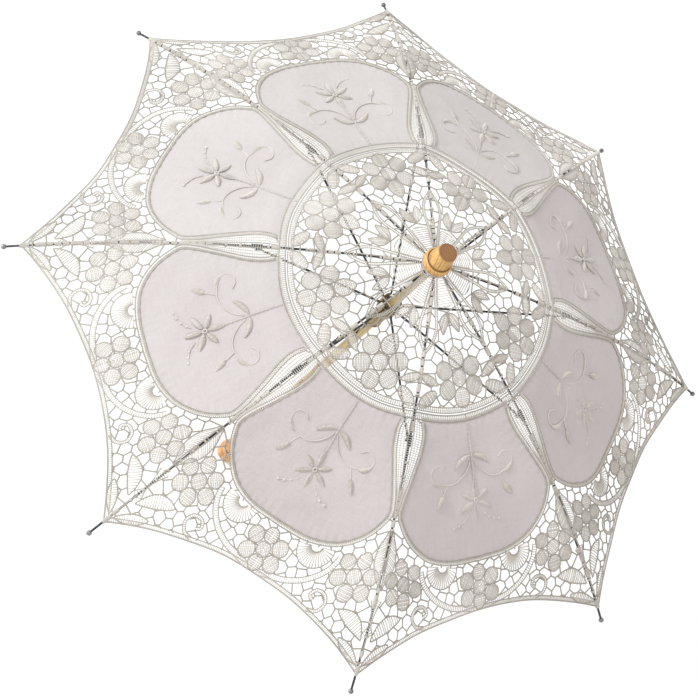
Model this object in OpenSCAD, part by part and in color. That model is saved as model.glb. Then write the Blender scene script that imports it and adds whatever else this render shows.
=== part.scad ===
// Eight-rib lace parasol, standing open, ferrule up.
// Z runs up the shaft. The origin is on the shaft's axis, in the middle of the knob at the
// handle's end. Rib 1 lies over +X and the others follow every 45 degrees. All sizes in mm.

/* [Canopy frame] */
// Distance from the shaft's axis to the middle of a rib's ball tip
tip_radius = 300; // [260:1:340]
// How far the ball tips hang below the rib pivots
tip_drop = 126; // [110:1:140]
// Half of the angle that a rib's arc turns through
rib_half_arc = 13; // [10:0.5:15]
// Diameter of the rib wire
rib_d = 1.8; // [1.6:0.1:2.2]
// Diameter of the stretcher wire
stretcher_d = 1.8; // [1.6:0.1:2]
// Distance from the axis to the rivet between rib and stretcher, along the rib
joint_radius = 130; // [120:1:140]
// Diameter of the ball on a rib's tip
ball_d = 4.2; // [4:0.1:5.5]

/* [Canopy] */
// Distance from the axis to the hem's corners
hem_corner_radius = 290; // [280:1:294]
// Distance from the axis, along a rib, level with the middle of a hem scallop
hem_middle_radius = 267; // [255:1:280]
// Distance from the axis to the canopy's inner edge
canopy_inner_radius = 12; // [12:0.5:16]
// Thickness of the canopy
canopy_t = 0.8; // [0.6:0.1:1.2]

/* [Shaft and handle] */
// Height of the rib pivots above the middle of the handle's knob
hub_z = 455; // [445:1:480]
// Diameter of the wooden shaft
shaft_d = 8; // [7.6:0.1:8.2]
// Diameter of the knob at the handle's end
knob_d = 19.6; // [18:0.2:24]
// Height of the ferrule's top above the rib pivots
ferrule_top = 24.3; // [22:0.1:27]

/* [Runner] */
// How far the runner's pivots sit below the rib pivots when the parasol is open
runner_drop = 81.7; // [78:0.1:86]
// Diameter of the runner's slotted crown
runner_crown_d = 17.2; // [16.8:0.1:19]
// Diameter of the runner's sleeve
runner_sleeve_d = 12; // [11.6:0.1:12]

/* [Hidden] */
$fn = 48;
ARMS = 8;
step = 360 / ARMS;

// The shared pivots: ring wires through flat eyes.
pivot_r = 7;
wire_r = 0.5;
pivot_clear = 0.05;
eye_t = 1;
slot_w = 1.4;
shaft_r = shaft_d / 2;

// A rib's arc, in the plane of the rib: x from the axis, z from the rib pivots.
chord_x = tip_radius - pivot_r;
chord = sqrt(chord_x * chord_x + tip_drop * tip_drop);
arc_r = chord / (2 * sin(rib_half_arc));
start_slope = atan(tip_drop / chord_x) - rib_half_arc;
end_slope = start_slope + 2 * rib_half_arc;
arc_cx = pivot_r - arc_r * sin(start_slope);
arc_cz = -arc_r * cos(start_slope);
function slope_at(radius) = asin((radius - arc_cx) / arc_r);
function arc_point(slope, lift = 0) =
    [arc_cx + (arc_r + lift) * sin(slope), arc_cz + (arc_r + lift) * cos(slope)];

// The rivet under the rib, and the stretcher from it down to the runner.
rivet_r = 0.6;
rivet_drop = 3.6;
joint_slope = slope_at(joint_radius);
joint = arc_point(joint_slope, -rivet_drop);
stretcher_dx = joint[0] - pivot_r;
stretcher_dz = joint[1] + runner_drop;
stretcher_len = sqrt(stretcher_dx * stretcher_dx + stretcher_dz * stretcher_dz);
stretcher_tilt = atan(stretcher_dz / stretcher_dx);

// The travel: the ribs swing down by close_angle, and the runner goes to where the
// stretchers then end.
close_angle = 64;
joint_closed = [
    pivot_r + stretcher_dx * cos(close_angle) + joint[1] * sin(close_angle),
    joint[1] * cos(close_angle) - stretcher_dx * sin(close_angle)
];
closed_dx = joint_closed[0] - pivot_r;
closed_dz = sqrt(stretcher_len * stretcher_len - closed_dx * closed_dx);
runner_travel = closed_dz - joint_closed[1] - runner_drop;

// Top notch, washer and ferrule, above the rib pivots.
notch_r = 9.5;
notch_low = -4;
notch_high = 1.8;
slot_floor_r = 4.95;
groove_floor_r = 6.45;
groove_h = 1.2;
washer_t = 0.5;
washer_r = 11.4;
shaft_top = 14;

// Runner, from its pivots.
crown_high = 3;
crown_low = -9;
sleeve_low = -35;
bore_clear = 0.06;

// Pins and catches. The catches sit between two arms and the pins a quarter turn away.
catch_turn = step / 2;
pin_turn = catch_turn + 90;
nail_r = 0.6;
nail_z = -2.4;
stop_r = 1;
stop_len = 13;
catch_pin_r = 0.5;
catch_w = 1.6;
catch_slot_w = 2;
catch_wire = 0.9;
catch_root_x = 0.6;
catch_gap = 0.3;
top_catch_len = 33;
top_catch_out = 7;
low_catch_len = 20;
low_catch_out = 6.4;
window_high = -16;
window_low = -27;
runner_z = hub_z - runner_drop;
top_catch_z = runner_z + sleeve_low - catch_gap;
low_catch_z = runner_z - runner_travel + window_low + catch_gap;

// Handle, from the middle of its knob.
handle_low = -8;
handle_high = 97;
socket_depth = 30;
knob_band = 8;

// The canopy's grid: rows from the hub to the hem, columns across one rib's share.
canopy_lift = 2;
canopy_rows = 11;
canopy_half_cols = 3;
seam_gap = 0.15;

// ---- helpers ----

// A disc on its edge, its axis along Y.
module disc_y(r, t) {
    rotate([90, 0, 0]) cylinder(r = r, h = t, center = true);
}

// A rod along X from x0 to x1.
module rod_x(r, x0, x1) {
    translate([x0, 0, 0]) rotate([0, 90, 0]) cylinder(r = r, h = x1 - x0);
}

// A bar along X from x0 to x1, between two heights, its thickness across Y.
module bar_x(x0, x1, z0, z1, t) {
    translate([x0, -t / 2, z0]) cube([x1 - x0, t, z1 - z0]);
}

module ring_wire() {
    rotate_extrude() translate([pivot_r, 0]) circle(r = wire_r, $fn = 24);
}

// Slots and groove that turn a drum into a notch for the eyes and their ring wire.
module notch_cuts(low, high) {
    for (k = [0:ARMS - 1])
        rotate([0, 0, k * step])
            bar_x(slot_floor_r, 15, low - 1, high + 1, slot_w);
    rotate_extrude()
        translate([groove_floor_r, -groove_h / 2]) square([10, groove_h]);
}

// Places an arm part at arm k, at the height of the rib pivots.
module on_arm(k) {
    translate([0, 0, hub_z]) rotate([0, 0, (k - 1) * step]) children();
}

// ---- shaft, handle and crown ----

module catch_slot(length) {
    eye_room = 1.8;
    end_room = 1;
    translate([-3, -catch_slot_w / 2, -eye_room])
        cube([8, catch_slot_w, length + eye_room + end_room]);
}

module shaft() {
    color("burlywood")
    difference() {
        translate([0, 0, handle_high - socket_depth])
            cylinder(r = shaft_r, h = hub_z + shaft_top - handle_high + socket_depth);
        translate([0, 0, top_catch_z - top_catch_len]) rotate([0, 0, catch_turn]) {
            catch_slot(top_catch_len);
            translate([catch_root_x, 0, 0]) disc_y(catch_pin_r, 10);
        }
        translate([0, 0, low_catch_z + low_catch_len]) rotate([0, 0, catch_turn]) mirror([0, 0, 1]) {
            catch_slot(low_catch_len);
            translate([catch_root_x, 0, 0]) disc_y(catch_pin_r, 10);
        }
        translate([0, 0, hub_z + nail_z]) rotate([0, 0, pin_turn])
            rod_x(nail_r, -10, 10);
        translate([0, 0, runner_z + crown_high + 0.2 + stop_r]) rotate([0, 0, pin_turn])
            rod_x(stop_r, -10, 10);
    }
}

// Turned grip: a banded knob, a waisted grip and a bead where the shaft enters.
module handle() {
    band = knob_band / 2;
    r = knob_d / 2;
    color("peru")
    difference() {
        rotate_extrude() {
            difference() {
                union() {
                    // knob: a flat end, a rounded edge, the band and a rounded shoulder
                    translate([0, handle_low]) square([r - 4, 8]);
                    translate([0, -band]) square([r, knob_band]);
                    translate([r - 4, -band]) circle(r = 4);
                    translate([r - 4, band]) circle(r = 4);
                    translate([0, band]) square([r - 4, 4]);
                    // grip: a swelling between the neck and the bead
                    polygon(concat([[0, 6]], [for (i = [0:12]) grip_point(i / 12)], [[0, 91]]));
                    // bead and the end collar
                    translate([5.2, 91]) circle(r = 2.4);
                    translate([0, 88]) square([5.4, handle_high - 88]);
                }
                translate([-40, -20]) square([40, 140]);
            }
        }
        translate([0, 0, handle_high - socket_depth]) cylinder(r = shaft_r, h = socket_depth + 1);
    }
}
function grip_point(t) = [6.2 + 1.5 * sin(180 * t), 6 + 85 * t];

// Two-step turned ferrule with a blind socket for the shaft.
module ferrule() {
    base = notch_high + washer_t;
    groove_z = base + 7.4;
    color("burlywood")
    translate([0, 0, hub_z])
    difference() {
        rotate_extrude($fn = 96)
            difference() {
                polygon([[0, base], [10.2, base], [10.9, base + 0.6], [11.3, base + 1.6],
                         [11.5, base + 3], [11.4, base + 4.4], [10.9, base + 5.8],
                         [10, base + 6.7], [8.6, groove_z], [9.1, base + 8.2],
                         [8.9, base + 11], [8.2, ferrule_top - 5], [7.7, ferrule_top - 0.8],
                         [7.4, ferrule_top - 0.2], [7.2, ferrule_top], [0, ferrule_top]]);
                translate([9.3, groove_z]) circle(r = 0.8, $fn = 24);
            }
        translate([0, 0, base - 1]) cylinder(r = shaft_r, h = shaft_top - base + 1);
    }
}

module canopy_washer() {
    color("white")
    translate([0, 0, hub_z + notch_high])
    difference() {
        cylinder(r = washer_r, h = washer_t);
        translate([0, 0, -1]) cylinder(r = shaft_r, h = washer_t + 2);
    }
}

module top_notch() {
    color("burlywood")
    translate([0, 0, hub_z])
    difference() {
        translate([0, 0, notch_low]) cylinder(r = notch_r, h = notch_high - notch_low);
        translate([0, 0, notch_low - 1]) cylinder(r = shaft_r, h = 20);
        notch_cuts(notch_low, notch_high);
        translate([0, 0, nail_z]) rotate([0, 0, pin_turn]) rod_x(nail_r, -12, 12);
    }
}

module notch_wire() {
    color("gray") translate([0, 0, hub_z]) ring_wire();
}

module notch_nail() {
    color("gray")
    translate([0, 0, hub_z + nail_z]) rotate([0, 0, pin_turn]) rod_x(nail_r, -9.4, 9.4);
}

module stop_pin() {
    color("gray")
    translate([0, 0, runner_z + crown_high + 0.2 + stop_r]) rotate([0, 0, pin_turn])
        rod_x(stop_r, -stop_len / 2, stop_len / 2);
}

module catch_pins() {
    color("gray")
    for (z = [top_catch_z - top_catch_len, low_catch_z + low_catch_len])
        translate([0, 0, z]) rotate([0, 0, catch_turn]) translate([catch_root_x, 0, 0])
            disc_y(catch_pin_r, 7.6);
}

// ---- spring catches ----

// A bent-wire catch: an eye on its pin, a ramp out of the shaft and a flat end back into it.
module catch_spring(length, out) {
    ramp = atan((out - catch_root_x) / (length - catch_wire));
    ramp_len = sqrt(pow(out - catch_root_x, 2) + pow(length - catch_wire, 2));
    difference() {
        union() {
            translate([catch_root_x, 0, 0]) disc_y(1.2, catch_w);
            translate([catch_root_x, 0, 0]) rotate([0, ramp, 0])
                translate([-catch_wire, -catch_w / 2, 0]) cube([catch_wire, catch_w, ramp_len]);
            translate([2, -catch_w / 2, length - catch_wire])
                cube([out - 2, catch_w, catch_wire]);
        }
        translate([catch_root_x, 0, 0]) disc_y(catch_pin_r + pivot_clear, 4);
    }
}

module top_catch() {
    color("silver")
    translate([0, 0, top_catch_z - top_catch_len]) rotate([0, 0, catch_turn])
        catch_spring(top_catch_len, top_catch_out);
}

module lower_catch() {
    color("silver")
    translate([0, 0, low_catch_z + low_catch_len]) rotate([0, 0, catch_turn]) mirror([0, 0, 1])
        catch_spring(low_catch_len, low_catch_out);
}

// ---- runner ----

module runner() {
    color("burlywood")
    translate([0, 0, runner_z])
    difference() {
        union() {
            translate([0, 0, crown_low])
                cylinder(d = runner_crown_d, h = crown_high - crown_low);
            translate([0, 0, sleeve_low]) cylinder(d = runner_sleeve_d, h = crown_low - sleeve_low);
            translate([0, 0, sleeve_low])
                rotate_extrude() translate([runner_sleeve_d / 2 - 0.9, 2]) circle(r = 1.6);
        }
        translate([0, 0, sleeve_low - 1])
            cylinder(r = shaft_r + bore_clear, h = crown_high - sleeve_low + 2);
        notch_cuts(crown_low, crown_high);
        rotate([0, 0, catch_turn])
            bar_x(3, 10, window_low, window_high, catch_slot_w + 0.6);
    }
}

module runner_wire() {
    color("gray") translate([0, 0, runner_z]) ring_wire();
}

// ---- one arm: rib, ball tip, rivet joint, stretcher and its share of the canopy ----

// A torus arc in the plane of the rib, between two slopes.
module rib_arc(r, from, to) {
    translate([arc_cx, 0, arc_cz]) rotate([90, 0, 0]) rotate([0, 0, 90 - to])
        rotate_extrude(angle = to - from, $fn = 96) translate([arc_r, 0]) circle(r = r, $fn = 24);
}

module rib(k) {
    flat_len = 7;
    color("dimgray")
    on_arm(k)
    difference() {
        union() {
            rib_arc(rib_d / 2, start_slope + 0.45, end_slope);
            translate([pivot_r, 0, 0]) rotate([0, start_slope, 0]) {
                disc_y(1.65, eye_t);
                bar_x(0, flat_len, -0.85, 0.85, eye_t);
            }
        }
        translate([pivot_r, 0, 0]) disc_y(wire_r + pivot_clear, 4);
    }
}

module rib_tip(k) {
    tip = arc_point(end_slope);
    color("dimgray")
    on_arm(k)
    translate([tip[0], 0, tip[1]]) rotate([0, end_slope, 0])
    difference() {
        sphere(d = ball_d);
        rod_x(rib_d / 2 + 0.02, -5, 0.02);
    }
}

// A saddle crimped round the rib, its two cheeks and the rivet between them.
module rib_joint(k) {
    on = arc_point(joint_slope);
    gap = 1.4;
    cheek_t = 0.7;
    color("dimgray")
    on_arm(k)
    translate([on[0], 0, on[1]]) rotate([0, joint_slope, 0]) {
        difference() {
            union() {
                rod_x(1.7, -4.5, 4.5);
                for (side = [-1, 1])
                    translate([0, side * (gap + cheek_t) / 2, 0]) {
                        translate([0, 0, -rivet_drop]) disc_y(1.6, cheek_t);
                        bar_x(-1.6, 1.6, -rivet_drop, 0, cheek_t);
                    }
            }
            rod_x(rib_d / 2 + 0.02, -6, 6);
            bar_x(-3, 3, -8, -1.72, gap);
        }
        translate([0, 0, -rivet_drop]) {
            disc_y(rivet_r, gap + 2 * cheek_t + 1);
            for (side = [-1, 1])
                translate([0, side * (gap / 2 + cheek_t + 0.25), 0]) disc_y(1.05, 0.5);
        }
    }
}

// The stretcher: an eye round the rivet, and at the runner a long flat with a cradle under
// the ring wire. The flat stays in the runner's slot as the parasol closes. The cradle is
// open above, where the wire leaves it part-way through the travel.
module stretcher(k) {
    rivet_flat = 6;
    runner_flat = 12;
    hook_r = 1.4;
    hole_r = wire_r + 0.08;
    color("dimgray")
    on_arm(k)
    translate([pivot_r, 0, -runner_drop]) rotate([0, -stretcher_tilt, 0])
    difference() {
        union() {
            rod_x(stretcher_d / 2, runner_flat - 1.2, stretcher_len - rivet_flat + 1);
            translate([stretcher_len, 0, 0]) disc_y(1.4, eye_t);
            bar_x(stretcher_len - rivet_flat, stretcher_len, -0.8, 0.8, eye_t);
            disc_y(hook_r, eye_t);
            bar_x(0, runner_flat, -hook_r, 0.8, eye_t);
        }
        translate([stretcher_len, 0, 0]) disc_y(rivet_r + 0.06, 4);
        disc_y(hole_r, 4);
        // the wire's way out: between the bar's direction and straight up when open
        rotate([90, 0, 0]) translate([0, 0, -2]) linear_extrude(height = 4)
            polygon([[-0.1, -hole_r], [0, -hole_r], [2.2, -hole_r + 0.25], [4.6, 0.9],
                     [2.5, 6], [-1.2, 6], [-hole_r, 0]]);
    }
}

// The canopy between the middles of the two gores beside a rib: straight between the ribs,
// arched along them, with half a hem scallop on each side.
function hem_radius(u) =
    hem_middle_radius + (hem_corner_radius - hem_middle_radius) * pow(1 - 2 * abs(u), 2);
function gore_point(i, j, lift) =
    let (u = 0.5 * j / canopy_half_cols)
    let (a = slope_at(canopy_inner_radius), b = slope_at(hem_radius(u)))
    let (p = arc_point(a + (b - a) * i / canopy_rows, canopy_lift + lift))
    let (w = 2 * abs(u) * p[0] * sin(step / 2))
    let (side = j > 0 ? 1 : -1)
    [p[0] - w * sin(step / 2),
     side * (w * cos(step / 2) - (abs(j) == canopy_half_cols ? seam_gap : 0)),
     p[1]];
module canopy(k) {
    cols = 2 * canopy_half_cols;
    n = cols + 1;
    rows = canopy_rows + 1;
    under = [for (i = [0:canopy_rows]) for (j = [0:cols]) gore_point(i, j - canopy_half_cols, 0)];
    over = [for (p = under) [p[0], p[1], p[2] + canopy_t]];
    m = rows * n;
    sheet = [for (i = [0:canopy_rows - 1]) for (j = [0:cols - 1])
        [i * n + j, i * n + j + 1, (i + 1) * n + j + 1, (i + 1) * n + j]];
    edge = concat(
        [for (j = [0:cols - 1]) j],
        [for (i = [0:canopy_rows - 1]) i * n + cols],
        [for (j = [cols:-1:1]) canopy_rows * n + j],
        [for (i = [canopy_rows:-1:1]) i * n]
    );
    count = len(edge);
    faces = concat(
        [for (f = sheet) each [[f[0], f[1], f[2]], [f[0], f[2], f[3]]]],
        [for (f = sheet) each [[m + f[2], m + f[1], m + f[0]], [m + f[3], m + f[2], m + f[0]]]],
        [for (i = [0:count - 1]) let (a = edge[i], b = edge[(i + 1) % count])
            each [[a, m + a, m + b], [a, m + b, b]]]
    );
    color("ivory") on_arm(k) polyhedron(points = concat(under, over), faces = faces);
}

shaft();
handle();
ferrule();
canopy_washer();
top_notch();
notch_wire();
notch_nail();
stop_pin();
catch_pins();
top_catch();
lower_catch();
runner();
runner_wire();
for (k = [1:ARMS]) {
    rib(k);
    rib_tip(k);
    rib_joint(k);
    stretcher(k);
    canopy(k);
}
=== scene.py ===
import math
import bpy
import numpy as np
from mathutils import Matrix, Vector, geometry


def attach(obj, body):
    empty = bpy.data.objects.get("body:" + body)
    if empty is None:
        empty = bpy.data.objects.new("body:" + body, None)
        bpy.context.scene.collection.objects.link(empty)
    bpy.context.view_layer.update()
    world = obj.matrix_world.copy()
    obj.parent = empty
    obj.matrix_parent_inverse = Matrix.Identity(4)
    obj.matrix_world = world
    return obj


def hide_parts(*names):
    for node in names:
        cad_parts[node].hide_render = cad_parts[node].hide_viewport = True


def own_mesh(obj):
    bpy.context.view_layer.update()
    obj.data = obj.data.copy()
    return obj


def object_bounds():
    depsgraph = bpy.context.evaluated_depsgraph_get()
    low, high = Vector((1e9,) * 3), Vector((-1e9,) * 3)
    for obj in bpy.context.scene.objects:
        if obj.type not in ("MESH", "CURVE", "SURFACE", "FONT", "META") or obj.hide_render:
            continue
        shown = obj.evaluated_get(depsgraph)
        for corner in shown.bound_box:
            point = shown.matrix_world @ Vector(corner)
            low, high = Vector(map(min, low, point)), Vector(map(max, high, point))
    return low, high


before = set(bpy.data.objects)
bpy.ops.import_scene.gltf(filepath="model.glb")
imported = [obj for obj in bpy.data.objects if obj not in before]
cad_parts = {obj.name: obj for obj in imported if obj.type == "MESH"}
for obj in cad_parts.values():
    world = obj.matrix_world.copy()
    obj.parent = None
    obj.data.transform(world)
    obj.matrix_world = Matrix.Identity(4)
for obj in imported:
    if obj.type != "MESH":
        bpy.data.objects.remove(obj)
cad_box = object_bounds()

# Lengths in the pattern are millimetres; everything handed to Blender is metres.
ARMS = 8
HALF = math.radians(22.5)
TAN, COS = math.tan(HALF), math.cos(HALF)
HUB_Z = 455.0

# A rib's arc in its own plane, as in the CAD.
ARC_R, PIVOT_R = 708.918, 7.0
ARC_START = math.radians(10.269)
ARC_X = PIVOT_R - ARC_R * math.sin(ARC_START)
ARC_Z = -ARC_R * math.cos(ARC_START)
HEM_CORNER, HEM_MIDDLE = 290.0, 267.0
SADDLE = 130.0


def rib_height(s):
    return ARC_Z + np.sqrt(ARC_R ** 2 - (s - ARC_X) ** 2)


def rib_slope(s):
    return -(s - ARC_X) / np.sqrt(ARC_R ** 2 - (s - ARC_X) ** 2)


# ---------------------------------------------------------------- camera and light

camera = bpy.data.objects.new("camera", bpy.data.cameras.new("camera"))
bpy.context.collection.objects.link(camera)
turn = Matrix(((-0.9209704, 0.1926334, 0.3386827),
               (-0.0469762, -0.9177917, 0.3942737),
               (0.3867904, 0.3472043, 0.8543081)))
place = Vector((0.594994, 0.698225, 1.790391))
camera.matrix_world = Matrix.Translation(place) @ turn.to_4x4()
FOCAL, PICTURE_WIDTH, SENSOR_WIDTH = 2150, 698, 36  # pixels, pixels, millimetres
camera.data.sensor_width = SENSOR_WIDTH
camera.data.lens = FOCAL / PICTURE_WIDTH * SENSOR_WIDTH
camera.data.clip_start, camera.data.clip_end = 0.05, 20
bpy.context.scene.camera = camera
bpy.context.scene.view_settings.view_transform = "Standard"
RIGHT, UP, BACK = (turn.col[i].normalized() for i in range(3))
MIDDLE = Vector((0, 0, 0.4))


def lamp(name, side, up, back, distance, size, power, tint):
    data = bpy.data.lights.new(name, "AREA")
    data.shape, data.size, data.energy, data.color = "DISK", size, power, tint
    ob = bpy.data.objects.new(name, data)
    way = (RIGHT * side + UP * up + BACK * back).normalized()
    ob.location = MIDDLE + way * distance
    ob.rotation_mode = "QUATERNION"
    ob.rotation_quaternion = way.to_track_quat("Z", "Y")
    bpy.context.collection.objects.link(ob)


lamp("key", -0.78, 0.78, 0.75, 4.0, 1.5, 138, (0.94, 0.99, 1))
lamp("fill", 0.5, -0.3, 1, 4.0, 2.5, 36, (1, 0.985, 0.97))

world = bpy.data.worlds.new("studio")
world.use_nodes = True
world.node_tree.nodes["Background"].inputs["Color"].default_value = (1, 0.975, 0.965, 1)
world.node_tree.nodes["Background"].inputs["Strength"].default_value = 0.82
bpy.context.scene.world = world


# ---------------------------------------------------------------- materials

def nodes_of(name):
    m = bpy.data.materials.new(name)
    m.use_nodes = True
    nt = m.node_tree
    return m, nt, nt.nodes["Principled BSDF"]


def node(nt, kind, **inputs):
    n = nt.nodes.new(kind)
    for k, v in inputs.items():
        n.inputs[k.replace("_", " ")].default_value = v
    return n


def ramp(nt, factor, stops):
    n = nt.nodes.new("ShaderNodeValToRGB")
    e = n.color_ramp.elements
    while len(e) < len(stops):
        e.new(0.5)
    for at, (p, c) in zip(e, stops):
        at.position, at.color = p, (*c, 1)
    nt.links.new(factor, n.inputs["Fac"])
    return n.outputs["Color"]


def mixed(nt, factor, a, b, way="MIX"):
    n = nt.nodes.new("ShaderNodeMix")
    n.data_type, n.blend_type = "RGBA", way
    for sock, v in ((n.inputs["Factor"], factor), (n.inputs["A"], a), (n.inputs["B"], b)):
        if isinstance(v, (int, float)):
            sock.default_value = v
        elif isinstance(v, tuple):
            sock.default_value = (*v, 1)
        else:
            nt.links.new(v, sock)
    return [o for o in n.outputs if o.type == "RGBA"][0]


def maths(nt, op, *values):
    n = nt.nodes.new("ShaderNodeMath")
    n.operation = op
    for sock, v in zip(n.inputs, values):
        if isinstance(v, (int, float)):
            sock.default_value = v
        else:
            nt.links.new(v, sock)
    return n.outputs[0]


def scaled(nt, coords, scale):
    n = nt.nodes.new("ShaderNodeMapping")
    n.inputs["Scale"].default_value = scale
    nt.links.new(coords, n.inputs["Vector"])
    return n.outputs[0]


def noise(nt, coords, scale, detail=3.0, rough=0.5):
    n = node(nt, "ShaderNodeTexNoise", Scale=scale, Detail=detail, Roughness=rough)
    nt.links.new(coords, n.inputs["Vector"])
    return n.outputs["Fac"]


def bump(nt, height, strength, distance, under=None):
    n = node(nt, "ShaderNodeBump", Strength=strength, Distance=distance)
    nt.links.new(height, n.inputs["Height"])
    if under is not None:
        nt.links.new(under, n.inputs["Normal"])
    return n.outputs["Normal"]


def object_coords(nt):
    return nt.nodes.new("ShaderNodeTexCoord").outputs["Object"]


def plain_weave(nt, uv, pitch):
    """Height of a plain weave over uv in metres: two crossed sets of threads."""
    sep = nt.nodes.new("ShaderNodeSeparateXYZ")
    nt.links.new(uv, sep.inputs[0])
    k = 2 * math.pi / pitch
    u = maths(nt, "SINE", maths(nt, "MULTIPLY", sep.outputs["X"], k))
    v = maths(nt, "SINE", maths(nt, "MULTIPLY", sep.outputs["Y"], k))
    return maths(nt, "ADD", maths(nt, "MULTIPLY", u, v), maths(nt, "MULTIPLY", u, 0.35))


def cotton_cloth():
    m, nt, p = nodes_of("petal_cotton")
    obj = object_coords(nt)
    uv = nt.nodes.new("ShaderNodeUVMap")
    uv.uv_map = "cloth"
    slub = noise(nt, scaled(nt, uv.outputs[0], (900, 60, 1)), 1.0, 2.0)
    slub2 = noise(nt, scaled(nt, uv.outputs[0], (60, 900, 1)), 1.0, 2.0)
    tone = noise(nt, obj, 9.0, 3.0)
    c = ramp(nt, tone, [(0.3, (0.535, 0.495, 0.490)), (0.7, (0.590, 0.552, 0.547))])
    c = mixed(nt, 0.10, c, ramp(nt, slub, [(0.3, (0.55, 0.53, 0.52)), (0.7, (1, 1, 1))]), "MULTIPLY")
    c = mixed(nt, 0.10, c, ramp(nt, slub2, [(0.3, (0.55, 0.53, 0.52)), (0.7, (1, 1, 1))]), "MULTIPLY")
    nt.links.new(c, p.inputs["Base Color"])
    p.inputs["Roughness"].default_value = 0.88
    p.inputs["Sheen Weight"].default_value = 0.25
    p.inputs["Sheen Roughness"].default_value = 0.5
    p.inputs["Specular IOR Level"].default_value = 0.2
    weave = plain_weave(nt, uv.outputs[0], 0.0007)
    creases = noise(nt, obj, 52.0, 5.0, 0.62)
    n1 = bump(nt, creases, 0.55, 0.0030)
    nt.links.new(bump(nt, weave, 0.5, 0.00018, n1), p.inputs["Normal"])
    return m


def lace_thread(name, low, middle, high):
    m, nt, p = nodes_of(name)
    obj = object_coords(nt)
    tone = noise(nt, obj, 14.0, 4.0)
    c = ramp(nt, tone, [(0.3, low), (0.55, middle), (0.8, high)])
    fibre = noise(nt, obj, 1400.0, 3.0, 0.7)
    c = mixed(nt, 0.30, c, ramp(nt, fibre, [(0.3, (0.5, 0.47, 0.44)), (0.65, (1, 1, 1))]), "MULTIPLY")
    nt.links.new(c, p.inputs["Base Color"])
    p.inputs["Roughness"].default_value = 0.8
    p.inputs["Sheen Weight"].default_value = 0.3
    p.inputs["Specular IOR Level"].default_value = 0.25
    nt.links.new(bump(nt, fibre, 0.6, 0.0003), p.inputs["Normal"])
    return m


def satin_thread():
    m, nt, p = nodes_of("satin_thread")
    obj = object_coords(nt)
    tone = noise(nt, obj, 60.0, 3.0)
    c = ramp(nt, tone, [(0.3, (0.53, 0.487, 0.445)), (0.7, (0.62, 0.582, 0.545))])
    nt.links.new(c, p.inputs["Base Color"])
    r = ramp(nt, noise(nt, obj, 220.0, 2.0), [(0.3, (0.36,) * 3), (0.7, (0.56,) * 3)])
    nt.links.new(r, p.inputs["Roughness"])
    p.inputs["Sheen Weight"].default_value = 0.35
    nt.links.new(bump(nt, noise(nt, obj, 1800.0, 2.0), 0.4, 0.0002), p.inputs["Normal"])
    return m


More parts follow.
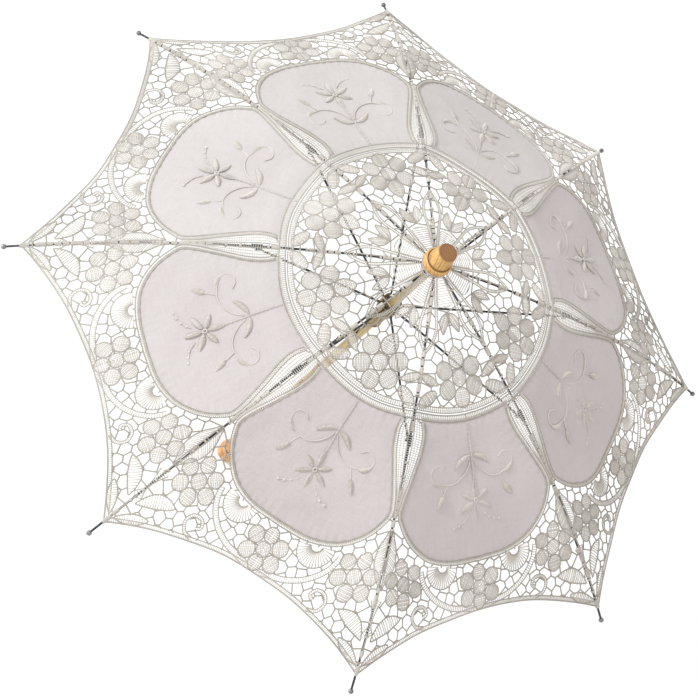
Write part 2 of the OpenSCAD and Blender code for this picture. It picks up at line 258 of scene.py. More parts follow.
def turned_wood(name, side, grain, end_tone, dark_bands=(), rings=420.0, rough=0.42):
    """Wood turned on the Z axis: long grain on the sides, growth rings on the flat ends."""
    m, nt, p = nodes_of(name)
    obj = object_coords(nt)
    warp = noise(nt, scaled(nt, obj, (45, 45, 5)), 1.0, 2.0)
    moved = nt.nodes.new("ShaderNodeVectorMath")
    moved.operation = "ADD"
    off = nt.nodes.new("ShaderNodeCombineXYZ")
    nt.links.new(maths(nt, "MULTIPLY", warp, 0.004), off.inputs["X"])
    nt.links.new(maths(nt, "MULTIPLY", warp, 0.003), off.inputs["Y"])
    nt.links.new(obj, moved.inputs[0])
    nt.links.new(off.outputs[0], moved.inputs[1])
    sep = nt.nodes.new("ShaderNodeSeparateXYZ")
    nt.links.new(moved.outputs[0], sep.inputs[0])
    shift = maths(nt, "ADD", sep.outputs["X"], 0.009)
    r = maths(nt, "SQRT", maths(nt, "ADD", maths(nt, "MULTIPLY", shift, shift),
                                maths(nt, "MULTIPLY", sep.outputs["Y"], sep.outputs["Y"])))
    wave = maths(nt, "SINE", maths(nt, "MULTIPLY", r, rings * 2 * math.pi))
    ring = maths(nt, "MULTIPLY_ADD", wave, 0.5, 0.5)
    pores = noise(nt, scaled(nt, obj, (1500, 1500, 55)), 1.0, 3.0, 0.6)
    c = ramp(nt, ring, [(0.0, side), (0.75, side), (1.0, grain)])
    streak = noise(nt, scaled(nt, obj, (260, 260, 9)), 1.0, 4.0, 0.6)
    c = mixed(nt, ramp(nt, streak, [(0.45, (0, 0, 0)), (0.75, (1, 1, 1))]), c, grain)
    c = mixed(nt, 0.45, c, ramp(nt, pores, [(0.36, (0.55, 0.42, 0.30)), (0.5, (1, 1, 1))]), "MULTIPLY")
    normal = nt.nodes.new("ShaderNodeNewGeometry").outputs["True Normal"]
    nz = nt.nodes.new("ShaderNodeSeparateXYZ")
    nt.links.new(normal, nz.inputs[0])
    on_end = maths(nt, "GREATER_THAN", maths(nt, "ABSOLUTE", nz.outputs["Z"]), 0.93)
    end = mixed(nt, maths(nt, "MULTIPLY", ring, 0.7), end_tone, tuple(0.45 * v for v in end_tone))
    flat_r = nt.nodes.new("ShaderNodeVectorMath")
    flat_r.operation = "LENGTH"
    nt.links.new(scaled(nt, obj, (140, 140, 0)), flat_r.inputs[0])
    rim_shade = ramp(nt, flat_r.outputs["Value"], [(0.6, (1, 1, 1)), (1.0, (0.5, 0.45, 0.4))])
    end = mixed(nt, 1.0, end, rim_shade, "MULTIPLY")
    c = mixed(nt, on_end, c, end)
    z = nt.nodes.new("ShaderNodeSeparateXYZ")
    nt.links.new(obj, z.inputs[0])
    for centre, half, tone in dark_bands:
        away = maths(nt, "ABSOLUTE", maths(nt, "SUBTRACT", z.outputs["Z"], centre))
        here = maths(nt, "LESS_THAN", away, half)
        c = mixed(nt, maths(nt, "MULTIPLY", here, 0.75), c, tone)
    nt.links.new(c, p.inputs["Base Color"])
    nt.links.new(ramp(nt, pores, [(0.3, (rough + 0.2,) * 3), (0.6, (rough,) * 3)]), p.inputs["Roughness"])
    p.inputs["Coat Weight"].default_value = 0.12
    p.inputs["Coat Roughness"].default_value = 0.3
    nt.links.new(bump(nt, pores, 0.35, 0.0002), p.inputs["Normal"])
    return m


def metal(name, dark, light, rough, metallic, worn):
    m, nt, p = nodes_of(name)
    obj = object_coords(nt)
    spots = noise(nt, obj, 240.0, 4.0, 0.65)
    c = ramp(nt, spots, [(0.35, dark), (0.62, light), (0.78, worn)])
    nt.links.new(c, p.inputs["Base Color"])
    p.inputs["Metallic"].default_value = metallic
    gloss = [(0.3, (rough - 0.1,) * 3), (0.7, (rough + 0.15,) * 3)]
    nt.links.new(ramp(nt, noise(nt, obj, 500.0, 3.0), gloss), p.inputs["Roughness"])
    nt.links.new(bump(nt, noise(nt, obj, 900.0, 3.0), 0.25, 0.00015), p.inputs["Normal"])
    return m


def floor_paint():
    m, nt, p = nodes_of("floor_paint")
    obj = object_coords(nt)
    tone = noise(nt, obj, 3.0, 2.0)
    c = ramp(nt, tone, [(0.3, (0.95, 0.965, 0.975)), (0.7, (0.96, 0.975, 0.985))])
    nt.links.new(c, p.inputs["Base Color"])
    p.inputs["Roughness"].default_value = 0.9
    p.inputs["Specular IOR Level"].default_value = 0.1
    return m


COTTON, SATIN = cotton_cloth(), satin_thread()
CORD = lace_thread("lace_cord", (0.30, 0.275, 0.24), (0.41, 0.38, 0.34), (0.54, 0.51, 0.47))
FILL = lace_thread("lace_filling", (0.53, 0.50, 0.455), (0.65, 0.62, 0.575), (0.77, 0.74, 0.70))
WOOD_TOP = turned_wood("ferrule_birch", (0.72, 0.44, 0.15), (0.48, 0.24, 0.07), (0.32, 0.135, 0.04),
                       ((0.4647, 0.0009, (0.22, 0.10, 0.03)), (0.4792, 0.0006, (0.25, 0.12, 0.045))), 560.0)
WOOD_SHAFT = turned_wood("shaft_ramin", (0.60, 0.46, 0.20), (0.42, 0.29, 0.10), (0.50, 0.36, 0.17))
# Wood for the runner and the top notch, darker than the shaft's: painted shade for where they sit in the
# canopy's shadow.
WOOD_RUNNER_PAINTED_SHADE = turned_wood("runner_wood_painted_shade", (0.36, 0.26, 0.10), (0.22, 0.145, 0.05), (0.32, 0.23, 0.10))
WOOD_KNOB = turned_wood("handle_beech", (0.66, 0.36, 0.14), (0.47, 0.22, 0.07), (0.46, 0.22, 0.08),
                        ((0.0042, 0.0004, (0.25, 0.10, 0.03)), (-0.0042, 0.0004, (0.25, 0.10, 0.03)),
                         (0.0895, 0.0005, (0.25, 0.10, 0.03))))
BLACK = metal("painted_steel", (0.012, 0.012, 0.013), (0.03, 0.03, 0.032), 0.42, 0.0, (0.09, 0.088, 0.085))
TIP = metal("tip_steel", (0.16, 0.16, 0.155), (0.27, 0.265, 0.26), 0.36, 0.6, (0.42, 0.41, 0.40))
WIRE = metal("bright_wire", (0.42, 0.42, 0.42), (0.56, 0.56, 0.55), 0.32, 0.9, (0.66, 0.65, 0.63))
SPRING = metal("spring_steel", (0.30, 0.30, 0.31), (0.42, 0.42, 0.43), 0.30, 0.9, (0.52, 0.51, 0.50))


def dress(name, material):
    ob = bpy.data.objects[name]
    if not ob.material_slots:
        ob.data.materials.append(material)
    for s in ob.material_slots:
        s.material = material


for name, material in (("shaft", WOOD_SHAFT), ("handle", WOOD_KNOB), ("ferrule", WOOD_TOP),
                       ("canopy_washer", COTTON), ("top_notch", WOOD_RUNNER_PAINTED_SHADE), ("runner", WOOD_RUNNER_PAINTED_SHADE),
                       ("notch_wire", WIRE), ("runner_wire", WIRE), ("notch_nail", WIRE),
                       ("stop_pin", WIRE), ("catch_pins", WIRE), ("top_catch", SPRING),
                       ("lower_catch", SPRING)):
    dress(name, material)
for k in range(1, ARMS + 1):
    dress(f"rib_{k}", BLACK)
    dress(f"rib_joint_{k}", BLACK)
    dress(f"stretcher_{k}", BLACK)
    dress(f"rib_tip_{k}", TIP)

# floor
half_floor = 4.0
floor_mesh = bpy.data.meshes.new("floor")
floor_z = cad_box[0][2] - 0.0002
corners = [(x * half_floor, y * half_floor, floor_z) for x, y in ((-1, -1), (1, -1), (1, 1), (-1, 1))]
floor_mesh.from_pydata(corners, [], [(0, 1, 2, 3)])
floor_mesh.materials.append(floor_paint())
floor = bpy.data.objects.new("floor", floor_mesh)
bpy.context.collection.objects.link(floor)


# ---------------------------------------------------------------- the lace pattern, one half gore
# Plan coordinates: x across from the middle of the gore towards a rib, y out from the axis.

def curve(points, step=1.2, closed=False):
    """A smooth line through the points, cut every step."""
    p = np.asarray(points, float)
    n = len(p)
    if closed:
        q = np.vstack([p[-1], p, p[0], p[1]])
        spans = n
    else:
        q = np.vstack([2 * p[0] - p[1], p, 2 * p[-1] - p[-2]])
        spans = n - 1
    out = []
    for i in range(spans):
        a, b, c, d = q[i:i + 4]
        m = max(1, int(np.ceil(np.linalg.norm(c - b) / step)))
        t = (np.arange(m) / m)[:, None]
        out.append(0.5 * (2 * b + (c - a) * t + (2 * a - 5 * b + 4 * c - d) * t ** 2
                          + (3 * b - a - 3 * c + d) * t ** 3))
    if not closed:
        out.append(p[-1:])
    return np.vstack(out)


def inside(poly, pts):
    x, y = pts[:, 0], pts[:, 1]
    hit = np.zeros(len(pts), bool)
    a, b = poly, np.roll(poly, -1, 0)
    for (x0, y0), (x1, y1) in zip(a, b):
        if y0 == y1:
            continue
        cross = ((y0 > y) != (y1 > y)) & (x < (x1 - x0) * (y - y0) / (y1 - y0) + x0)
        hit ^= cross
    return hit


def offset_line(p, by):
    return p + side_of(p) * by


def run_length(p):
    """How far each point of a line is along it."""
    return np.append(0, np.cumsum(np.linalg.norm(np.diff(p, axis=0), axis=1)))


def side_of(p, closed=False):
    """The unit vector to the left of each point's direction of travel."""
    if closed:
        t = np.roll(p, -1, 0) - np.roll(p, 1, 0)
    else:
        t = np.gradient(p[:, :2], axis=0)
    t = t[:, :2] / np.maximum(np.linalg.norm(t[:, :2], axis=1), 1e-9)[:, None]
    return np.stack([-t[:, 1], t[:, 0]], 1)


def ellipse(cx, cy, rx, ry=None, tilt=0.0, n=24, point=0.0):
    """A closed outline; point draws one end out, as on a pointed petal. tilt is in degrees."""
    a = np.linspace(0, 2 * math.pi, n, endpoint=False)
    rx, ry = float(rx), float(rx if ry is None else ry)
    x = rx * np.cos(a) + point * np.maximum(np.cos(a), 0) ** 6
    y = ry * np.sin(a)
    t = math.radians(tilt)
    return np.stack([cx + x * math.cos(t) - y * math.sin(t), cy + x * math.sin(t) + y * math.cos(t)], 1)


def leaf_outline(p0, p1, width, bend=0.0, n=12):
    """A pointed leaf from p0 to p1; bend bows it to the left, as a share of its length."""
    p0, p1 = np.asarray(p0, float), np.asarray(p1, float)
    d = p1 - p0
    nrm = np.array([-d[1], d[0]]) / np.linalg.norm(d)
    t = np.linspace(0, 1, n)
    mid = p0 + d * t[:, None] + nrm * (bend * np.linalg.norm(d) * 4 * t * (1 - t))[:, None]
    w = width / 2 * np.sin(math.pi * t ** 0.9) ** 0.8
    w = np.where(np.isfinite(w), w, 0)
    return np.vstack([mid + nrm * w[:, None], (mid - nrm * w[:, None])[-2:0:-1]])


def tube_faces(n, sides, closed=False):
    """The triangles of a tube of n rings, with its two ends capped unless it is closed."""
    i = np.arange(n if closed else n - 1)[:, None]
    j = np.arange(sides)
    i2, j2 = (i + 1) % n, (j + 1) % sides
    q = np.stack([i * sides + j, i * sides + j2, i2 * sides + j2, i2 * sides + j], -1).reshape(-1, 4)
    tri = np.vstack([q[:, [0, 1, 2]], q[:, [0, 2, 3]]])
    if closed:
        return tri
    fan = np.arange(1, sides - 1)
    first = np.stack([np.zeros_like(fan), fan + 1, fan], 1)
    last = (n - 1) * sides + np.stack([np.zeros_like(fan), fan, fan + 1], 1)
    return np.vstack([tri, first, last])


class Strands:
    """Round threads in plan coordinates, cut off at the gore's middle and at the rib line."""

    def __init__(self):
        self.v, self.f, self.tone, self.n = [], [], [], 0

    def tube(self, p, r, sides, closed, tone):
        n = len(p)
        side = side_of(p, closed)
        a = np.arange(sides) * 2 * math.pi / sides + math.pi / sides
        ring = np.zeros((n, sides, 3))
        ring[:, :, :2] = p[:, None, :2] + side[:, None, :] * (r * np.cos(a))[None, :, None]
        ring[:, :, 2] = p[:, 2:3] + (r * np.sin(a))[None, :]
        self.v.append(ring.reshape(-1, 3))
        tri = tube_faces(n, sides, closed)
        self.f.append(tri + self.n)
        self.tone.append(np.full(len(tri), tone, np.int32))
        self.n += n * sides

    def strand(self, path, r, h=0.0, sides=5, closed=False, tone=0):
        p = np.asarray(path, float)
        if p.shape[1] == 2:
            p = np.hstack([p, np.full((len(p), 1), float(h))])
        keep = (p[:, 0] >= 0) & (p[:, 0] <= p[:, 1] * TAN)
        if keep.all():
            if len(p) > 1:
                self.tube(p, r, sides, closed, tone)
            return
        if not keep.any():
            return
        if closed:  # start outside, so that no run is cut in two
            k = int(np.argmin(keep))
            p, keep = np.roll(p, -k, 0), np.roll(keep, -k)
            p, keep = np.vstack([p, p[0]]), np.append(keep, keep[0])
        run = []
        for i in range(len(p)):
            if keep[i]:
                if not run and i:
                    run.append(self.edge_point(p[i], p[i - 1]))
                run.append(p[i])
            elif run:
                run.append(self.edge_point(p[i - 1], p[i]))
                self.finish_run(run, r, sides, tone)
                run = []
        if run:
            self.finish_run(run, r, sides, tone)

    @staticmethod
    def edge_point(a, b):
        """Where the step from a, inside, to b, outside, leaves the half gore."""
        t = 1.0
        for g in (lambda q: q[0], lambda q: q[1] * TAN - q[0]):
            ga, gb = g(a), g(b)
            if gb < 0:
                t = min(t, ga / (ga - gb))
        return a + (b - a) * t

    def finish_run(self, run, r, sides, tone):
        p = np.array(run)
        far = np.append(True, np.linalg.norm(np.diff(p, axis=0), axis=1) > 1e-4)
        p = p[far]
        if len(p) > 1 and np.linalg.norm(np.diff(p, axis=0), axis=1).sum() > 0.3:
            self.tube(p, r, sides, False, tone)

    def mesh(self):
        return np.vstack(self.v), np.vstack(self.f), np.concatenate(self.tone)


hand = np.random.default_rng(5)
# The lace is three pieces to a half gore: inner circle, petal's edging and border.
inner, edging, border, satin = Strands(), Strands(), Strands(), Strands()
lace = inner  # the piece that the pattern below is being added to
solid = []  # outlines that the open mesh stays out of


def rows(poly, angle, pitch):
    """The chords of an outline at one angle in degrees, pitch apart."""
    t = math.radians(angle)
    c, s = math.cos(t), math.sin(t)
    q = poly @ np.array([[c, -s], [s, c]])
    a, b = q, np.roll(q, -1, 0)
    lo, hi = q[:, 1].min(), q[:, 1].max()
    n = max(1, int(round((hi - lo) / pitch)))
    for y0 in lo + (np.arange(n) + 0.5 + hand.uniform(-0.14, 0.14, n)) * (hi - lo) / n:
        m = (a[:, 1] <= y0) != (b[:, 1] <= y0)
        xs = np.sort(a[m, 0] + (y0 - a[m, 1]) / (b[m, 1] - a[m, 1]) * (b[m, 0] - a[m, 0]))
        for x0, x1 in zip(xs[::2], xs[1::2]):
            if x1 - x0 > 0.5:
                yield (np.array([[x0, y0], [(x0 + x1) / 2, y0], [x1, y0]])
                       @ np.array([[c, s], [-s, c]]))


BOW = 0.25  # how far a cloth-stitch thread rises at its middle


def woven(poly, angle=0.0, pitch=1.3, r=0.52, weft=1.6, rim=0.50, rim_tone=0):
    """A patch of cloth stitch inside a corded outline."""
    for line in rows(poly, angle, pitch):
        p = np.hstack([line, [[0], [BOW], [0]]])
        lace.strand(p, r, sides=4, tone=1)
    if weft:
        for line in rows(poly, angle + 90, weft):
            n = max(3, int(np.linalg.norm(line[2] - line[0]) / 0.95) + 1)
            t = np.linspace(0, 1, n)[:, None]
            p = line[0] + (line[2] - line[0]) * t
            h = BOW * 4 * t * (1 - t) + 0.22 + 0.16 * np.cos(np.arange(n) * math.pi)[:, None]
            lace.strand(np.hstack([p, h]), 0.28, sides=4, tone=1)
    if rim:
        lace.strand(curve(poly, 1.3, True), rim, 0.2, closed=True, tone=rim_tone)
    solid.append(poly)


TAPE_CORD = 0.40


def tape(points, width, pitch=1.35, r=0.44):
    """A narrow bobbin-lace tape: a cord on each edge and close bars between."""
    p = curve(points)
    off = width / 2 - TAPE_CORD
    a, b = offset_line(p, off), offset_line(p, -off)
    lace.strand(a, TAPE_CORD, 0.1)
    lace.strand(b, TAPE_CORD, 0.1)
    run = run_length((a + b) / 2)
    for s in np.arange(pitch / 2, run[-1], pitch):
        q = [np.array([np.interp(s, run, e[:, 0]), np.interp(s, run, e[:, 1])]) for e in (a, b)]
        lace.strand(np.array([q[0], (q[0] + q[1]) / 2, q[1]]), r, 0.0, sides=4, tone=1)
    solid.append(np.vstack([offset_line(p, width / 2), offset_line(p, -width / 2)[::-1]]))


def flower(cx, cy, centre_r, petals):
    """A ring of woven discs round a small one; petals are (x, y, radius, drawn-out point)."""
    for x, y, r, point in petals:
        out = math.degrees(math.atan2(y - cy, x - cx))
        disc = ellipse(x, y, r, r * 0.97, out, point=point)
        if x > 2:  # a hand-made disc is never quite round
            disc += hand.uniform(-0.22, 0.22, disc.shape)
        woven(disc, out + 90)
    woven(ellipse(cx, cy, centre_r, n=20), 45, weft=1.9, rim=0.45)


ARC_STEP = 1.6


def arc(radius):
    """Part of a circle about the axis, from the middle of the gore to the rib."""
    a = np.arange(math.pi / 2 - HALF, math.pi / 2 + 1e-6, ARC_STEP / radius)
    a = np.append(a, math.pi / 2)
    return np.stack([radius * np.cos(a), radius * np.sin(a)], 1)[::-1]


# Rim of the inner circle: two tapes with ladder stitches.
CIRCLE_IN, CIRCLE_OUT = 104.4, 115.4
for r0, r1, pitch, cord in ((109.7, CIRCLE_OUT, 1.6, 0.50), (CIRCLE_IN, 109.0, 1.8, 0.42)):
    for radius in (r0 + cord, r1 - cord):
        lace.strand(arc(radius), cord, 0.25)
    for a in np.arange(math.pi / 2 - HALF, math.pi / 2, pitch / r1):
        d = np.array([math.cos(a), math.sin(a)])
        bar = np.array([d * (r0 + cord), d * (r0 + r1) / 2, d * (r1 - cord)])
        lace.strand(bar, 0.46, 0.1, sides=4, tone=1)
    lace.strand(arc((r0 + r1) / 2), 0.3, 0.45, sides=4, tone=1)

# Petal outline, corded all round, and the cotton inside it.
lace = edging
bottom = [(x, math.sqrt(114.6 ** 2 - x * x)) for x in (0, 10, 20, 30, 37)]
flank = [(38.4, 111), (39.2, 119), (44.0, 130), (53.8, 145), (63.6, 160), (67.9, 169.5), (67.0, 177),
         (62.8, 187.5), (55.0, 197.5), (43.0, 206.2), (24, 211.6), (0, 213)]
petal_line = np.vstack([np.array(bottom), curve(flank, 1.2)])
petal_full = np.vstack([petal_line, (petal_line * [-1, 1])[-2:0:-1]])
side_line = curve(flank, 1.2)
tape_in = offset_line(side_line, 3.0)
for line, r, tone in ((side_line, 0.48, 0), (tape_in, 0.42, 0), (offset_line(side_line, 1.5), 0.30, 1)):
    lace.strand(line, r, 0.42, tone=tone)
run = run_length(side_line)
for s in np.arange(0.7, run[-1], 1.35):
    a = [np.interp(s, run, side_line[:, i]) for i in (0, 1)]
    b = [np.interp(s + 0.5, run, tape_in[:, i]) for i in (0, 1)]
    lace.strand(np.array([a, b]), 0.42, 0.30, sides=4, tone=1)

# Net in the window between two petals: cords along the rib and fine rungs.
along = np.array([math.sin(HALF), math.cos(HALF)])
across = np.array([-math.cos(HALF), math.sin(HALF)])
past_rib = np.array([math.cos(HALF), -math.sin(HALF)])
lens = np.vstack([side_line[side_line[:, 1] < 170], [along * 187, along * 113]])


def clipped(p, poly, step=0.5):
    """The stretches of the line p0-p1 that lie inside an outline."""
    p = np.asarray(p, float)
    n = max(2, int(np.linalg.norm(p[1] - p[0]) / step))
    q = p[0] + (p[1] - p[0]) * np.linspace(0, 1, n)[:, None]
    keep = inside(poly, q)
    edges = np.flatnonzero(np.diff(np.r_[0, keep.astype(int), 0]))
    for a, b in zip(edges[::2], edges[1::2]):
        if b - a > 1:
            yield q[max(a - 1, 0):min(b + 1, n)][[0, -1]]


edge = side_line[side_line[:, 1] < 170]
edge_s, edge_w = edge @ along, edge @ across
span = np.arange(115, edge_s[-1], 1.5)
width = np.interp(span, edge_s, edge_w)
for share, tone in ((0.22, 0), (0.48, 1), (0.74, 1)):
    lace.strand(along * span[:, None] + across * (share * width)[:, None], 0.40, 0.15, tone=tone)
for s in np.arange(114, 190, 1.6):
    for seg in clipped([along * s, along * s + across * 16], lens):
        lace.strand(seg, 0.32, 0.0, sides=4, tone=1)

# Inner circle.
lace = inner
flower(0, 85, 6.2, [(0, 98.8, 7.0, 0), (12.1, 92, 7.0, 0), (12.1, 78, 7.0, 0), (0, 71.2, 6.8, 2.5)])
woven(leaf_outline((32.6, 77.5), (19.5, 87.5), 6.4), -37.4 + 90, rim=0.5)
woven(ellipse(30.2, 95.5, 8.6, 4.4, 24), 24 + 90)
tape([(26.5, 62.5), (20.5, 58.5), (15.2, 53), (11.6, 46), (9.6, 37), (7.7, 28), (5.6, 19), (3.9, 11.4)],
     2.8, r=0.40)
for side in (1, -1):
    woven(leaf_outline((0.6, 37.5), (side * 7.0, 52.5), 7.0, -0.08 * side), 60 * side, pitch=1.5)
fan = np.array([(0, 10.8), (2.4, 11.4), (3.9, 18), (5.6, 26), (6.4, 30.5), (4, 32.6), (0, 33.2)])
fan = np.vstack([fan, (fan * [-1, 1])[-2:0:-1]])
woven(fan, 0, pitch=1.9, r=0.40, weft=0, rim=0.42, rim_tone=1)
lace.strand(arc(10.8), 0.5, 0.3, tone=1)

# Outer border.
lace = border
tape([(4.5, 244.4), (14, 242.4), (25, 240), (36.5, 234.4), (44.5, 227.4), (49.6, 219.5), (51.6, 211)],
     4.6, pitch=1.7)
tape([(50.5, 248.6), (57.6, 246.6), (60.6, 240.6), (57, 235.2), (50.4, 235), (47.6, 239.4), (51, 242)], 3.0)
flower(0, 230.6, 5.2, [(0, 240, 5.4, 0), (10.6, 236.2, 5.9, 0), (10.6, 224.8, 5.9, 0), (0, 220.6, 5.4, 0)])
moon_t = np.linspace(math.pi, 0, 19)
tilt = math.radians(-13)
spin = np.array([[math.cos(tilt), math.sin(tilt)], [-math.sin(tilt), math.cos(tilt)]])
moon = np.stack([13.6 * np.cos(moon_t), 14.6 * np.sin(moon_t) ** 0.85], 1)
core = np.stack([4.2 * np.cos(moon_t), 3.6 * np.sin(moon_t)], 1)
moon, core = moon @ spin + [32.4, 211.4], core @ spin + [32.4, 211.4]
for a, b in zip(core, moon):
    lace.strand(np.array([[*a, 0], [*((a + b) / 2), 0.35], [*b, 0]]), 0.52, sides=4, tone=1)
lace.strand(curve(moon, 1.3), 0.46, 0.2)
lace.strand(curve(core, 1.0), 0.46, 0.3)
solid.append(moon)
flower(67.5, 216.5, 5.4, [(68.4, 228.2, 5.9, 0), (57.6, 221.9, 5.7, 0), (78.6, 223.2, 5.9, 0),
                          (57.9, 210.3, 5.5, 0), (78.4, 211.6, 5.7, 0), (68.2, 204.9, 5.4, 1.0)])
woven(leaf_outline((71.4, 238.4), (98.6, 248.4), 9.6, -0.09), 110, pitch=1.9, r=0.5, weft=0)
tape([(98.4, 245.2), (99.2, 237.5), (95.6, 230), (89.4, 222.6)], 4.2, pitch=1.6)
woven(leaf_outline((83.4, 253.6), (106.4, 262.2), 6.8), 112, pitch=1.8, r=0.46, weft=0)
# Half a leaf beside the rib: distances along the rib and away from it.
leaf_rib = np.array([along * s + across * w for s, w in
                     ((194, 1.2), (198, 3.4), (204, 6.6), (211, 8.4), (218, 8.2),
                      (225, 5.6), (230, 2.6), (233, 1.2), (213, 1.2))])
woven(leaf_rib, 67.5 + 58, pitch=1.4, weft=0, rim=0.5)


# Hem: two cords and short stitches between them.
def hem_y(x, back=0.0):
    s = HEM_MIDDLE + (HEM_CORNER - HEM_MIDDLE) * (x / (HEM_CORNER * math.sin(HALF))) ** 2
    return s * COS - back


HEM_STITCHES = 84
hx = np.linspace(0, (HEM_CORNER - 0.4) * math.sin(HALF), HEM_STITCHES)
hem_out = np.stack([hx, hem_y(hx, 0.6)], 1)
hem_in = np.stack([hx, hem_y(hx, 3.4)], 1)
lace.strand(hem_out, 0.58, 0.1)
lace.strand(hem_in, 0.42, 0.1)
for i in range(1, HEM_STITCHES):
    lace.strand(np.array([hem_out[i - 1], hem_in[i]]), 0.42, 0.1, sides=4, tone=1)
solid.append(np.vstack([np.stack([hx, hem_y(hx, 3.2)], 1), [(130, 268), (130, 330), (0, 330)]]))

# The open mesh fills what is left: the edges of a relaxed honeycomb, mirrored over both
# of the half gore's straight sides so that it runs on into its neighbours.
rng = np.random.default_rng(11)
CELL = 8.7
ROWS, COLUMNS = 60, 30
sites = []
for i in range(ROWS):
    for j in range(COLUMNS):
        sites.append(((j + 0.5 * (i % 2)) * CELL, 8 + i * CELL * 0.866))
sites = np.array(sites) + rng.uniform(-3.0, 3.0, (ROWS * COLUMNS, 2))


def mirror_rib(p):
    d = p @ along
    return 2 * d[:, None] * along - p


in_gore = (sites[:, 0] > 1.6) & (sites @ past_rib < -1.6) & (sites[:, 1] < HEM_CORNER)
sites = sites[in_gore]
for relax in range(2):
    everything = np.vstack([sites, sites * [-1, 1], mirror_rib(sites)])
    near = (everything[:, 0] > -20) & (everything @ past_rib < 20)
    everything = everything[near]
    vs, _, ts, _, _, _ = geometry.delaunay_2d_cdt([Vector(p) for p in everything], [], [], 0, 1e-6)
    vs = np.array([tuple(v) for v in vs])
    ts = np.array([t for t in ts if len(t) == 3])
    A, B, C = vs[ts[:, 0]], vs[ts[:, 1]], vs[ts[:, 2]]
    d = 2 * (A[:, 0] * (B[:, 1] - C[:, 1]) + B[:, 0] * (C[:, 1] - A[:, 1]) + C[:, 0] * (A[:, 1] - B[:, 1]))
    sq = [(q ** 2).sum(1) for q in (A, B, C)]
    # the middle of the circle through each triangle's corners
    centre_x = sq[0] * (B[:, 1] - C[:, 1]) + sq[1] * (C[:, 1] - A[:, 1]) + sq[2] * (A[:, 1] - B[:, 1])
    centre_y = sq[0] * (C[:, 0] - B[:, 0]) + sq[1] * (A[:, 0] - C[:, 0]) + sq[2] * (B[:, 0] - A[:, 0])
    centre = np.stack([centre_x / d, centre_y / d], 1)
    if relax == 0:  # half a Lloyd step: each site moves part of the way to its cell's middle
        total, count = np.zeros((len(vs), 2)), np.zeros(len(vs))
        for c in range(3):
            np.add.at(total, ts[:, c], centre)
            np.add.at(count, ts[:, c], 1)
        moved = vs + 0.5 * (total / np.maximum(count, 1)[:, None] - vs)
        good = (moved[:, 0] > 1.4) & (moved @ past_rib < -1.4) & (vs[:, 0] > 0)
        sites = moved[good & (np.abs(moved - vs).max(1) < 8)]

pairs = {}
for t, tri in enumerate(ts):
    for a, b in ((0, 1), (1, 2), (2, 0)):
        pairs.setdefault(frozenset((tri[a], tri[b])), []).append(t)
segments = [(centre[t[0]], centre[t[1]]) for t in pairs.values() if len(t) == 2]


def blocked(p):
    r = np.hypot(p[:, 0], p[:, 1])
    hit = (r < 11.5) | ((r > CIRCLE_IN) & (r < CIRCLE_OUT)) | inside(petal_full, p) | inside(lens, p)
    for poly in solid:
        hit |= inside(poly, p)
    return hit


for a, b in segments:
    size = np.linalg.norm(b - a)
    if not 0.3 < size < 25:
        continue
    n = max(2, int(size / 0.7) + 1)
    t = np.linspace(0, 1, n)[:, None]
    line = a + (b - a) * t
    if line[:, 0].max() < 0 or (line[:, 0] - line[:, 1] * TAN).min() > 0:
        continue
    free = ~blocked(line)
    edges = np.flatnonzero(np.diff(np.r_[0, free.astype(int), 0]))
    for i, j in zip(edges[::2], edges[1::2]):
        part = line[max(i - 1, 0):min(j + 1, n)]
        if len(part) > 1:
            if len(part) > 3:
                part = part[np.unique(np.r_[0:len(part):3, len(part) - 1])]
            else:
                part = part[[0, -1]]
            lace = inner if np.hypot(*part[0]) < 110 else border
            lace.strand(part, 0.57, 0.0)

# Embroidery on the cotton, raised satin stitch.
ON = 0.42  # how far above the cloth's middle its threads lie


def satin_leaf(p0, p1, width, bend=0.0, pitch=0.62):
    p0, p1 = np.asarray(p0, float), np.asarray(p1, float)
    poly = leaf_outline(p0, p1, width, bend, 14)
    d = p1 - p0
    lean = math.degrees(math.atan2(d[1], d[0])) + 68
    for line in rows(poly, lean, pitch):
        w = np.linalg.norm(line[2] - line[0])
        satin.strand(np.hstack([line, [[ON - 0.15], [ON + 0.24 * w], [ON - 0.15]]]), 0.34, sides=4)


def stem(points, r=0.42, knots=False):
    p = curve(points, 1.1)
    satin.strand(p, r, ON + 0.1)
    if knots:
        for q in p[::3]:
            satin.strand(np.array([q + [-0.5, 0], q, q + [0.5, 0]]), 0.40, ON + 0.2)


bloom = np.array([0, 171])
for angle, size in ((90, 14.5), (27, 15.5), (-27, 13.5), (-90, 15.0)):
    d = np.array([math.cos(math.radians(angle)), math.sin(math.radians(angle))])
    satin_leaf(bloom + d * 2.0, bloom + d * size, 4.2)
satin.strand(ellipse(*bloom, 1.4, n=10), 0.55, ON + 0.5, closed=True)
stem([(0.22, 117), (0.22, 128), (0.22, 140), (0.22, 157)], 0.20, True)
satin_leaf((1, 139.5), (15.5, 148.5), 4.2, -0.10)
stem([(1.5, 143), (5, 149), (12, 155), (20, 157.4), (27, 156), (33.6, 152.6), (36.4, 148), (33.6, 143.4),
      (28, 142.2), (24, 145.4)], 0.40)
satin_leaf((28, 156.2), (36.8, 149), 3.6, 0.16)
stem([(23, 157), (25.6, 161), (27.4, 164)], 0.42)
satin_leaf((26.6, 163.4), (33.4, 172.8), 5.0)
for x, y, r in ((7.6, 181.4, 0.8), (11.2, 184.4, 0.9), (15.4, 186.4, 1.0), (20, 187.4, 1.1)):
    satin.strand(ellipse(x, y, r * 0.5, n=8), r * 0.55, ON + 0.1, closed=True)
stem([(5.4, 179), (11, 184), (20, 187.4)], 0.28)


# ---------------------------------------------------------------- from plan to the real surface

def lift(s):
    """How far the cloth lies above a rib's centre line at a distance s along it."""
    return (1.5 + 0.8 * np.exp(-((s - SADDLE) / 9) ** 2) + 0.9 * np.exp(-((s - 11) / 7) ** 2)
            - 0.5 * np.exp(-((s - HEM_CORNER) / 10) ** 2))


